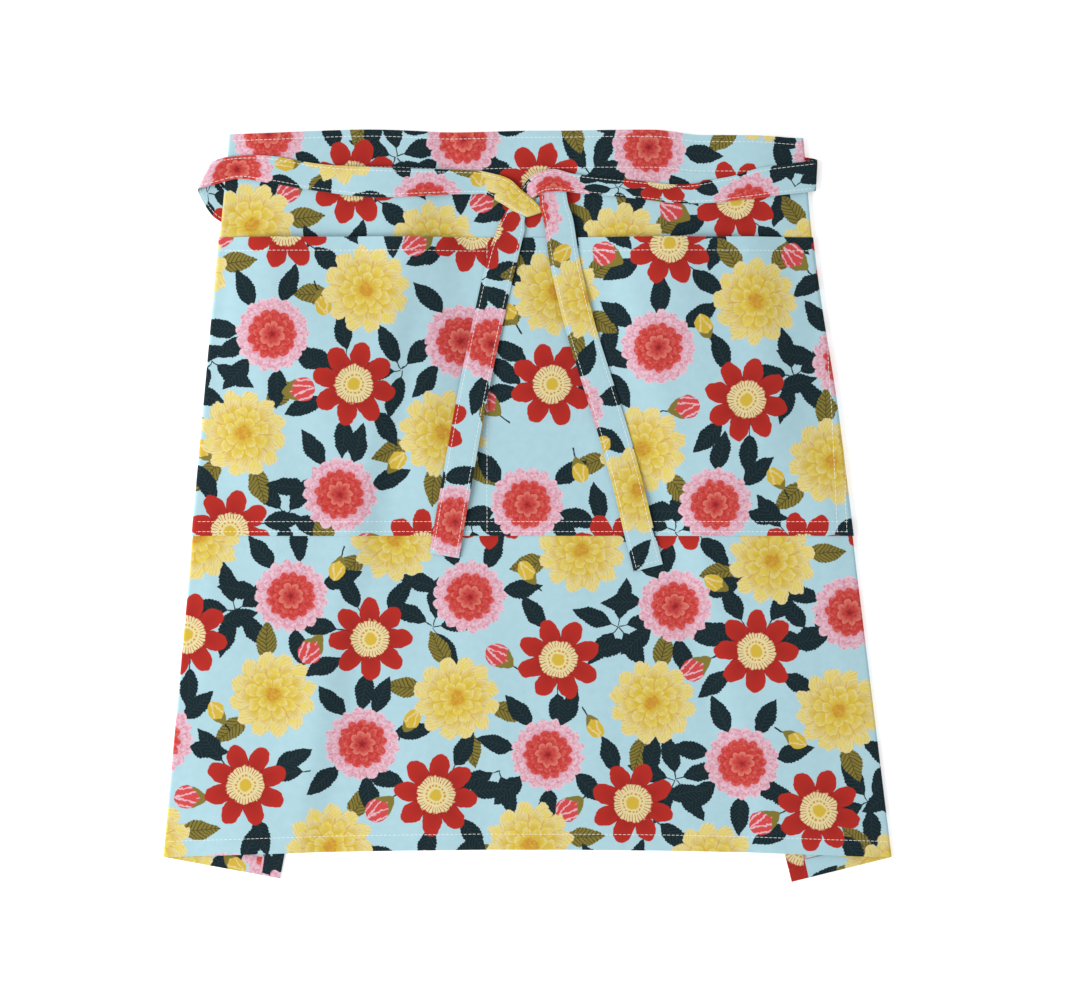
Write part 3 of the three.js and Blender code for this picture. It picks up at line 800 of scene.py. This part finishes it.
def stitched(name, rows):
    """One piece from several rows of stitches."""
    points, faces = beads(*(np.concatenate(part) for part in zip(*rows)))
    return add_mesh(name, points, faces)


# %% Stitches of the cloth pieces
WAIST_SEAM = CLOTH_LENGTH - 4.6
BAND_SEAM = BAND_BOTTOM + 1.2
MOUTH_SEAM = POCKET_TOP - 9.5
SEAM_END_INSET = 3
# Rows are (place across at the foot, place across at the mouth)
DIVIDERS = [(-28.4, -28.4), (216.9, 207.4), (223.6, 214.1)]
DIVIDER_HEIGHTS = (POCKET_BOTTOM + 2, POCKET_TOP - 1)


def full_row(y):
    """A seam over the full width at one height, in short steps."""
    x = np.linspace(LEFT["edge"] + SEAM_END_INSET, RIGHT["edge"] - SEAM_END_INSET, 200)
    return np.stack([x, np.full_like(x, y)], -1)


def side_row(fold):
    """The seam of a side hem, from the foot to the waist, in short steps."""
    y = np.linspace(SEAM_END_INSET, CLOTH_LENGTH - SEAM_END_INSET, 160)
    return np.stack([np.full_like(y, fold["edge"] - fold["sign"] * HEM_SEAM), y], -1)


skirt_stitches = stitched(
    "skirt_stitches",
    [cloth_row(full_row(y), skirt_face) for y in (HEM_SEAM, WAIST_SEAM, BAND_SEAM)]
    + [cloth_row(side_row(fold), skirt_face) for fold in (LEFT, RIGHT)],
)
pocket_lines = [full_row(y) for y in (MOUTH_SEAM, *POCKET_FOOT_SEAMS)]
for places in DIVIDERS:
    foot, mouth = zip(places, DIVIDER_HEIGHTS)
    pocket_lines.append(np.linspace(foot, mouth, 60))
pocket_stitches = stitched("pocket_stitches", [cloth_row(line, pocket_face) for line in pocket_lines])


# %% Stitches of the ties
TIE_SEAM_INSET = 2.3
TIE_END_INSET = 3.0
SEAM_FACE = HALF_TIE * 0.86
END_STITCHES = (np.arange(5) - 2) / 2.6


def tie_rows(strip):
    """Rows near both edges and on both faces of a tie, and one across its tail end."""

    def spot(run, across, face):
        pick = [
            np.stack([np.interp(run, strip["run"], values) for values in strip[key].T], -1)
            for key in ("place", "width", "normal")
        ]
        half = np.interp(run, strip["run"], strip["half"])
        reach = (across * half * (1 - TIE_SEAM_INSET / (TIE_WIDTH / 2)))[:, None]
        return pick[0] + pick[1] * reach + pick[2] * face * SEAM_FACE, pick[2] * face

    middles = stitch_middles(strip["run"][-1])
    tail_end = np.full_like(END_STITCHES, strip["run"][-1] - TIE_END_INSET)
    half_across = STITCH_LENGTH / TIE_WIDTH
    rows = []
    for run, across, along_run, along_across in (
        (middles, -1, HALF_STITCH, 0),
        (middles, 1, HALF_STITCH, 0),
        (tail_end, END_STITCHES, 0, half_across),
    ):
        for face in (-1, 1):
            start, _ = spot(run - along_run, across - along_across, face)
            end, normal = spot(run + along_run, across + along_across, face)
            rows.append((start, end, normal))
    return rows


left_tie_stitches = stitched("right_tail_stitches", tie_rows(left_strip))
right_tie_stitches = stitched("left_tail_stitches", tie_rows(right_strip))

# %% [markdown]
# ## The print
# The cloth is a pale blue cotton with a plain floral: yellow dahlias, round pink zinnias and red
# anemones among dark and olive leaves. It could be painted on an image, but shader nodes stay sharp at
# any distance. A few helpers first let the nodes be written as sums.

# %% Sums made of shader nodes
def new_material(name):
    """A material that uses nodes, and its shader."""
    made = bpy.data.materials.new(name)
    made.use_nodes = True
    return made, made.node_tree.nodes["Principled BSDF"]


def set_inputs(node, **values):
    """Sets a node's own inputs. An underscore in a name stands for a space."""
    for name, value in values.items():
        node.inputs[name.replace("_", " ")].default_value = value


material, shader = new_material("printed_cotton")
nodes = material.node_tree.nodes
links = material.node_tree.links


def plug(socket, value):
    """Sets a number or a colour on a socket, or links a node's output to it."""
    if isinstance(value, Field):
        links.new(value.socket, socket)
    elif isinstance(value, bpy.types.NodeSocket):
        links.new(value, socket)
    else:
        socket.default_value = value


def calc(operation, *values, clamp=False):
    """A math node, whose result can take part in further sums."""
    node = nodes.new("ShaderNodeMath")
    node.operation = operation
    node.use_clamp = clamp
    for socket, value in zip(node.inputs, values):
        plug(socket, value)
    return Field(node.outputs[0])


class Field:
    """A number that the shader works out at each point. Arithmetic on it adds math nodes."""

    def __init__(self, socket):
        self.socket = socket

    def __add__(self, other):
        return calc("ADD", self, other)

    def __sub__(self, other):
        return calc("SUBTRACT", self, other)

    def __rsub__(self, other):
        return calc("SUBTRACT", other, self)

    def __mul__(self, other):
        return calc("MULTIPLY", self, other)

    def __truediv__(self, other):
        return calc("DIVIDE", self, other)

    __radd__ = __add__
    __rmul__ = __mul__


# %% Helpers for colours and vectors
def below(value, edge, soft=0.35):
    """1 where value is less than edge and 0 where it is more, with a border that is soft wide."""
    return calc("MULTIPLY_ADD", edge - value, 1 / soft, 0.5, clamp=True)


def srgb(red, green, blue):
    """A colour from 0 to 255 a channel, in the linear values that shaders use."""
    share = np.array([red, green, blue]) / 255
    linear = np.where(share <= 0.04045, share / 12.92, ((share + 0.055) / 1.055) ** 2.4)
    return (*linear.tolist(), 1.0)


def paint(under, colour, mask):
    """Lays a colour over another where the mask is 1."""
    node = nodes.new("ShaderNodeMix")
    node.data_type = "RGBA"
    plug(node.inputs["Factor"], mask)
    plug(node.inputs["A"], under)
    plug(node.inputs["B"], colour)
    return node.outputs["Result"]


def noise(vector, scale, detail):
    """A noise texture read at a vector. scale is in features a unit."""
    node = nodes.new("ShaderNodeTexNoise")
    plug(node.inputs["Vector"], vector)
    plug(node.inputs["Scale"], scale)
    plug(node.inputs["Detail"], detail)
    return node


def combine(x, y, z=0.0):
    """Three numbers as one vector."""
    node = nodes.new("ShaderNodeCombineXYZ")
    for socket, value in zip(node.inputs, (x, y, z)):
        plug(socket, value)
    return node.outputs[0]


def separate(vector):
    """The three numbers of a vector or a colour."""
    node = nodes.new("ShaderNodeSeparateXYZ")
    plug(node.inputs[0], vector)
    return [Field(output) for output in node.outputs]


def random_numbers(x, y, z):
    """Three random numbers from 0 to 1 that depend only on the three values given."""
    node = nodes.new("ShaderNodeTexWhiteNoise")
    node.noise_dimensions = "3D"
    plug(node.inputs["Vector"], combine(x, y, z))
    return separate(node.outputs["Color"])


# %% [markdown]
# ### Where the motifs lie
# The print has its own coordinates in millimetres on the flat cloth, so it bends with every fold. Noise
# shifts them a little, as a brush does. Each motif repeats in cells of a turned half-drop layout, and
# random numbers turn and shift it in each cell.

# %% The print's coordinates
uv_node = nodes.new("ShaderNodeUVMap")
uv_node.uv_map = "cloth"
cloth_u, cloth_v, _ = separate(uv_node.outputs[0])
plain_x, plain_y = cloth_u * 100.0, cloth_v * 100.0
BRUSH_SHIFT = 3.6
shift_x, shift_y, _ = separate(noise(combine(plain_x, plain_y), 0.14, 3.0).outputs["Color"])
brushed_x = plain_x + (shift_x - 0.5) * BRUSH_SHIFT
brushed_y = plain_y + (shift_y - 0.5) * BRUSH_SHIFT
grain = Field(noise(combine(plain_x, plain_y, 3.0), 0.55, 3.0).outputs["Fac"])
ruffle = Field(noise(combine(plain_x, plain_y, 6.0), 0.17, 3.0).outputs["Fac"])

PRINT_TURN = math.radians(24)
print_x = brushed_x * math.cos(PRINT_TURN) + brushed_y * math.sin(PRINT_TURN)
print_y = brushed_y * math.cos(PRINT_TURN) - brushed_x * math.sin(PRINT_TURN)

# %% The cells of the layout
CELL_PITCH = 120.0
CELLS_BEFORE_ZERO = 64.5
CELLS_TO_REPEAT = 4.0


def cells(offset_x, offset_y, seed, jitter=6.0):
    """Distance and angle from the motif of the cell a point is in, and the cell's random numbers."""
    across = (print_x - offset_x) / CELL_PITCH + CELLS_BEFORE_ZERO
    column = calc("FLOOR", across)
    up = (print_y - offset_y) / CELL_PITCH + CELLS_BEFORE_ZERO + calc("MODULO", column, 2.0) * 0.5
    row = calc("FLOOR", up)
    column_key = calc("MODULO", column, CELLS_TO_REPEAT)
    row_key = calc("MODULO", row, CELLS_TO_REPEAT)
    dice = random_numbers(column_key + seed, row_key + seed * 0.37, seed)
    x = (across - column - 0.5) * CELL_PITCH + (dice[0] - 0.5) * (2 * jitter)
    y = (up - row - 0.5) * CELL_PITCH + (dice[1] - 0.5) * (2 * jitter)
    radius = calc("SQRT", x * x + y * y)
    angle = calc("ARCTAN2", y, x) + dice[2] * (2 * math.pi) + 4 * math.pi
    return radius, angle, dice


def lobes(angle, count, turn=0.0):
    """Round petals: 1 in the middle of each and 0 between them."""
    return calc("ABSOLUTE", calc("COSINE", (angle + turn) * (count / 2)))


# %% [markdown]
# ### The inks
# Each ink is given as it looks in the light of this scene, which is a little stronger than 1, and is
# darkened by that much.

# %% The inks
LIGHT_LEVEL = 1.17


def ink(red, green, blue):
    """The colour that shows as this one in the light of this scene."""
    return (*(channel / LIGHT_LEVEL for channel in srgb(red, green, blue)[:3]), 1.0)


INK = {
    "ground": ink(185, 221, 231),
    # A darker blue that noise mottles into the ground: partly the cloth's own uneven tone, partly
    # painted shade in place of the soft shading of folds.
    "ground_mottle_and_painted_shade": ink(164, 203, 214),
    "dark_leaf": ink(13, 35, 42),
    "dark_vein": ink(62, 84, 88),
    "olive": ink(132, 119, 50),
    "olive_vein": ink(74, 70, 36),
    "cream": ink(230, 216, 160),
    "lemon": ink(229, 209, 84),
    "gold": ink(214, 182, 62),
    "amber": ink(203, 146, 50),
    "pale_pink": ink(235, 201, 214),
    "pink": ink(211, 133, 154),
    "coral": ink(211, 74, 74),
    "light_coral": ink(226, 128, 116),
    "red": ink(186, 44, 34),
    "deep_red": ink(146, 28, 30),
    "wrong_side": ink(222, 232, 233),
}

# %% [markdown]
# ### Leaves and blooms
# A leaf is a lens along a ray from its bloom: its half width is a parabola of the place along it. A
# bloom is a stack of petal rings, and each ring's outline is a radius that depends on the angle.


# %% Leaves
def leaf_ring(colour, cell, count, reach, half_width, share, leaf_ink, vein_ink, vein_strength):
    """Pointed leaves round a centre, some left out. reach is where they start and end in mm."""
    radius, angle, dice = cell
    sector = angle * (count / (2 * math.pi))
    index = calc("FLOOR", sector)
    aside = (sector - index - 0.5) * (2 * math.pi / count)
    pick = random_numbers(calc("MODULO", index, float(count)), dice[0], dice[1])
    along = radius * calc("COSINE", aside)
    across = radius * calc("SINE", aside) - (pick[1] - 0.5) * (along - reach[0]) * 0.35
    from_rib = calc("ABSOLUTE", across)
    place = (along - reach[0]) / (reach[1] - reach[0]) * 2.0 - 1.0
    lens = calc("MAXIMUM", 1.0 - place * place, 0.0)
    teeth = calc("PINGPONG", along, 1.1) * 0.6
    edge = lens * ((1.0 - place * 0.3) * half_width + teeth) - 0.4
    shown = calc("LESS_THAN", pick[0], share)
    stem = below(from_rib, 0.4, 0.3) * below(along, reach[0] + 3.0, 0.5)
    slant = calc("PINGPONG", along - from_rib * 0.9, 1.5)
    veins = calc("MAXIMUM", below(slant, 0.42, 0.5), below(from_rib, 0.3, 0.4))
    leaf = paint(leaf_ink, vein_ink, veins * vein_strength)
    mask = calc("MAXIMUM", below(from_rib, edge), stem) * shown
    return paint(colour, leaf, mask)


# %% Rings of petals
def petal_ring(colour, radius, angle, ring, tip, base, crease):
    """One ring of petals. Their tips pass into the base colour, and a line parts them."""
    reach, depth, count, turn, fade = ring
    petal = lobes(angle, count, turn)
    edge = calc("POWER", petal, 0.7) * depth + (reach - depth)
    inward = calc("MULTIPLY", edge - radius, 1 / fade, clamp=True)
    shade = paint(tip, base, inward)
    shade = paint(shade, crease, below(petal, 0.17, 0.2) * 0.6)
    return paint(colour, shade, below(radius, edge, 0.6))


# Rows are (reach, depth, petal count, turn, fade in mm)
DAHLIA_RINGS = [
    (30.5, 6.0, 12, 0.0, 9.0),
    (25.0, 5.5, 11, 0.4, 8.0),
    (18.5, 4.5, 9, 1.1, 7.0),
    (12.0, 3.5, 7, 0.7, 5.0),
]
ZINNIA_RINGS = [
    (26.0, 3.0, 17, 0.0, 9.0),
    (21.5, 2.8, 15, 0.3, 7.0),
    (17.5, 2.8, 13, 0.7, 6.0),
    (13.2, 2.6, 11, 0.2, 5.0),
    (9.0, 2.4, 8, 0.5, 4.5),
    (5.0, 1.8, 5, 0.9, 4.0),
]


def petal_rings(colour, radius, angle, rings, tips, bases, creases):
    """A bloom's rings from the outermost to the innermost, each with its own three inks."""
    for ring, *inks in zip(rings, tips, bases, creases):
        colour = petal_ring(colour, radius, angle, ring, *inks)
    return colour


def dahlia(colour, cell):
    """A large yellow bloom: four rings of petals, fine strokes on the outer ones and an amber eye."""
    radius, angle, _ = cell
    radius = radius + (ruffle - 0.5) * 7.0
    strokes = below(lobes(angle + radius * 0.03, 58), 0.4, 0.4) * below(0.47, grain, 0.2) * 0.8
    cream = paint(INK["cream"], INK["gold"], strokes)
    lemon = paint(INK["lemon"], INK["cream"], below(0.52, grain, 0.15))
    bases = [INK["lemon"]] + [INK["gold"]] * 3
    creases = [INK["gold"]] + [INK["amber"]] * 3
    tips = [cream, cream, lemon, lemon]
    colour = petal_rings(colour, radius, angle, DAHLIA_RINGS, tips, bases, creases)
    eye = below(radius, 5.0, 1.2) * below(0.42, grain, 0.3)
    return paint(colour, INK["amber"], eye)


def zinnia(colour, cell):
    """A round bloom of many short petals, pale pink outside and coral within."""
    radius, angle, _ = cell
    radius = radius + (ruffle - 0.5) * 3.0
    pink, coral, red = INK["pink"], INK["coral"], INK["red"]
    pale = paint(INK["pale_pink"], pink, below(0.56, grain, 0.1) * 0.7)
    bright = paint(coral, INK["light_coral"], below(0.55, grain, 0.1) * 0.7)
    tips = [pale, pale, bright, bright, INK["light_coral"], coral]
    bases = [pink, pink, red, red, red, INK["deep_red"]]
    creases = [pink, pink, red, red, red, red]
    return petal_rings(colour, radius, angle, ZINNIA_RINGS, tips, bases, creases)


def anemone(colour, cell):
    """Eight round red petals, a crown of cream threads and a golden button in a ring of dots."""
    radius, angle, _ = cell
    deep = INK["deep_red"]
    colour = petal_ring(colour, radius, angle, (29.5, 13.0, 8, 0.0, 30.0), INK["red"], deep, deep)
    threads = below(0.3, lobes(angle, 34), 0.3) * below(radius, 11.2 + grain * 4.0, 0.8)
    crown = calc("MAXIMUM", threads, below(radius, 9.0, 0.8))
    colour = paint(colour, INK["cream"], crown)
    dots = below(0.6, lobes(angle, 16), 0.3) * below(calc("ABSOLUTE", radius - 6.6), 0.6, 0.5)
    colour = paint(colour, INK["amber"], dots)
    return paint(colour, INK["gold"], below(radius, 3.4 + grain * 2.0, 0.8))


# %% Buds
def bud(colour, cell, length, girth, petal_ink, light_ink):
    """A drop-shaped bud with a few petal lines, a green cup at its foot and a thin stalk."""
    radius, angle, _ = cell
    along = radius * calc("COSINE", angle)
    across = calc("ABSOLUTE", radius * calc("SINE", angle))
    place = along / length
    lens = calc("MAXIMUM", 1.0 - place * place, 0.0)
    edge = calc("POWER", lens, 0.6) * (place * 0.3 + 1.0) * girth - 0.5
    on_stalk = below(calc("ABSOLUTE", along + length * 1.2), length * 0.5, 0.5)
    colour = paint(colour, INK["dark_leaf"], below(across, 0.55, 0.4) * on_stalk)
    folds = below(calc("PINGPONG", across + place * 3.0 + grain * 3.0, 2.2), 0.55, 0.5)
    petals = paint(petal_ink, light_ink, folds * 0.8)
    petals = paint(petals, INK["olive"], below(place, across * 0.06 - 0.5, 0.08))
    return paint(colour, petals, below(across, edge, 0.5))


# %% The whole print, from the ground up
dahlia_cell = cells(0.0, 0.0, 3.1)
zinnia_cell = cells(40.0, 60.0, 7.7)
anemone_cell = cells(80.0, 0.0, 12.3)
sprig_cell = cells(0.0, 60.0, 17.9)
red_bud_cell = cells(41.0, 12.0, 21.9, 3.0)
gold_bud_cell = cells(81.0, 60.0, 31.3, 3.0)
DARK_LEAVES = (INK["dark_leaf"], INK["dark_vein"], 0.22)
OLIVE_LEAVES = (INK["olive"], INK["olive_vein"], 1.0)

# Noise mottles the ground with a darker blue: partly the cloth's own uneven tone, partly painted shade
# in place of the soft shading of folds.
layers = paint(INK["ground"], INK["ground_mottle_and_painted_shade"], ruffle * 0.7)
layers = leaf_ring(layers, sprig_cell, 5, (5.0, 36.0), 6.4, 0.75, *DARK_LEAVES)
layers = leaf_ring(layers, dahlia_cell, 6, (24.0, 53.0), 7.2, 0.4, *OLIVE_LEAVES)
layers = leaf_ring(layers, zinnia_cell, 7, (23.0, 53.0), 6.6, 0.72, *DARK_LEAVES)
layers = leaf_ring(layers, anemone_cell, 7, (24.0, 53.5), 6.6, 0.66, *DARK_LEAVES)
layers = bud(layers, red_bud_cell, 12.0, 8.5, INK["coral"], INK["pale_pink"])
layers = bud(layers, gold_bud_cell, 9.5, 6.0, INK["gold"], INK["cream"])
layers = zinnia(layers, zinnia_cell)
layers = anemone(layers, anemone_cell)
layers = dahlia(layers, dahlia_cell)

# %% The finish of the cloth
wrong_node = nodes.new("ShaderNodeAttribute")
wrong_node.attribute_name = "wrong_side"
layers = paint(layers, INK["wrong_side"], Field(wrong_node.outputs["Fac"]) * 0.62)
weave = noise(combine(plain_x, plain_y, 9.0), 1.3, 2.0)
bump = nodes.new("ShaderNodeBump")
set_inputs(bump, Strength=0.25, Distance=0.0003)
links.new(weave.outputs["Fac"], bump.inputs["Height"])
set_inputs(shader, Roughness=0.9, Specular_IOR_Level=0.2)
plug(shader.inputs["Base Color"], layers)
links.new(bump.outputs["Normal"], shader.inputs["Normal"])

thread, thread_shader = new_material("white_thread")
set_inputs(thread_shader, Base_Color=srgb(244, 243, 238), Roughness=0.7)

CLOTH_PIECES = [skirt, waistband, pocket_panel, left_tie, right_tie]
STITCH_PIECES = [skirt_stitches, pocket_stitches, left_tie_stitches, right_tie_stitches]
for piece, node in zip(CLOTH_PIECES, ["skirt", "waistband", "pocket_panel", "left_tie", "right_tie"]):
    piece.data.materials.append(material)
    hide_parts(node)
for piece in STITCH_PIECES:
    piece.data.materials.append(thread)
print("shader nodes:", len(nodes))

# %% [markdown]


# %% [markdown]
# ## Floor, light and camera
# The photograph looks straight down on a white ground with soft, nearly shadowless light. A large lamp
# from the lower left gives the wrinkles a little shape, and a bright sky fills the rest. The floor
# glows a little too, so that it shows as white as the photo's ground.

# %% Floor
FLOOR_GLOW = 0.35
floor_mesh = bpy.data.meshes.new("floor")
floor_mesh.from_pydata([(-3, -3, 0), (3, -3, 0), (3, 3, 0), (-3, 3, 0)], [], [(0, 1, 2, 3)])
floor = add_object("floor", floor_mesh)
floor_material, floor_shader = new_material("white_ground")
set_inputs(floor_shader, Base_Color=(0.93, 0.93, 0.93, 1), Roughness=1.0, Specular_IOR_Level=0.0)
set_inputs(floor_shader, Emission_Color=(1, 1, 1, 1), Emission_Strength=FLOOR_GLOW)
floor_mesh.materials.append(floor_material)

# %% Light
SKY_STRENGTH = 0.68
LAMP_SIZE = 1.6
LAMP_ENERGY = 64
LAMP_PLACE = (-2.15, -0.45, 1.5)
scene = bpy.context.scene
world = bpy.data.worlds.new("soft_sky")
world.use_nodes = True
set_inputs(world.node_tree.nodes["Background"], Color=(1, 1, 1, 1), Strength=SKY_STRENGTH)
scene.world = world
lamp_data = bpy.data.lights.new("window", "AREA")
lamp_data.size = LAMP_SIZE
lamp_data.energy = LAMP_ENERGY
lamp = add_object("window", lamp_data)
lamp.location = LAMP_PLACE
aim = -lamp.location.normalized()
lamp.rotation_euler = aim.to_track_quat("-Z", "Y").to_euler()

# %% Camera
PHOTO_WIDTH = 1085
MM_PER_PIXEL = 0.7
IMAGE_WIDTH_MM = PHOTO_WIDTH * MM_PER_PIXEL
CAMERA_AIM = (0.0105, 0.0044)
APRON_TOP = 0.005
camera_data = bpy.data.cameras.new("camera")
camera_data.lens = 85
camera_data.sensor_width = 36
camera_data.dof.use_dof = False
camera = add_object("camera", camera_data)
camera_height = IMAGE_WIDTH_MM * camera_data.lens / camera_data.sensor_width / 1000
camera.location = (*CAMERA_AIM, camera_height + APRON_TOP)
scene.camera = camera
scene.view_settings.view_transform = "Standard"
scene.view_settings.look = "None"
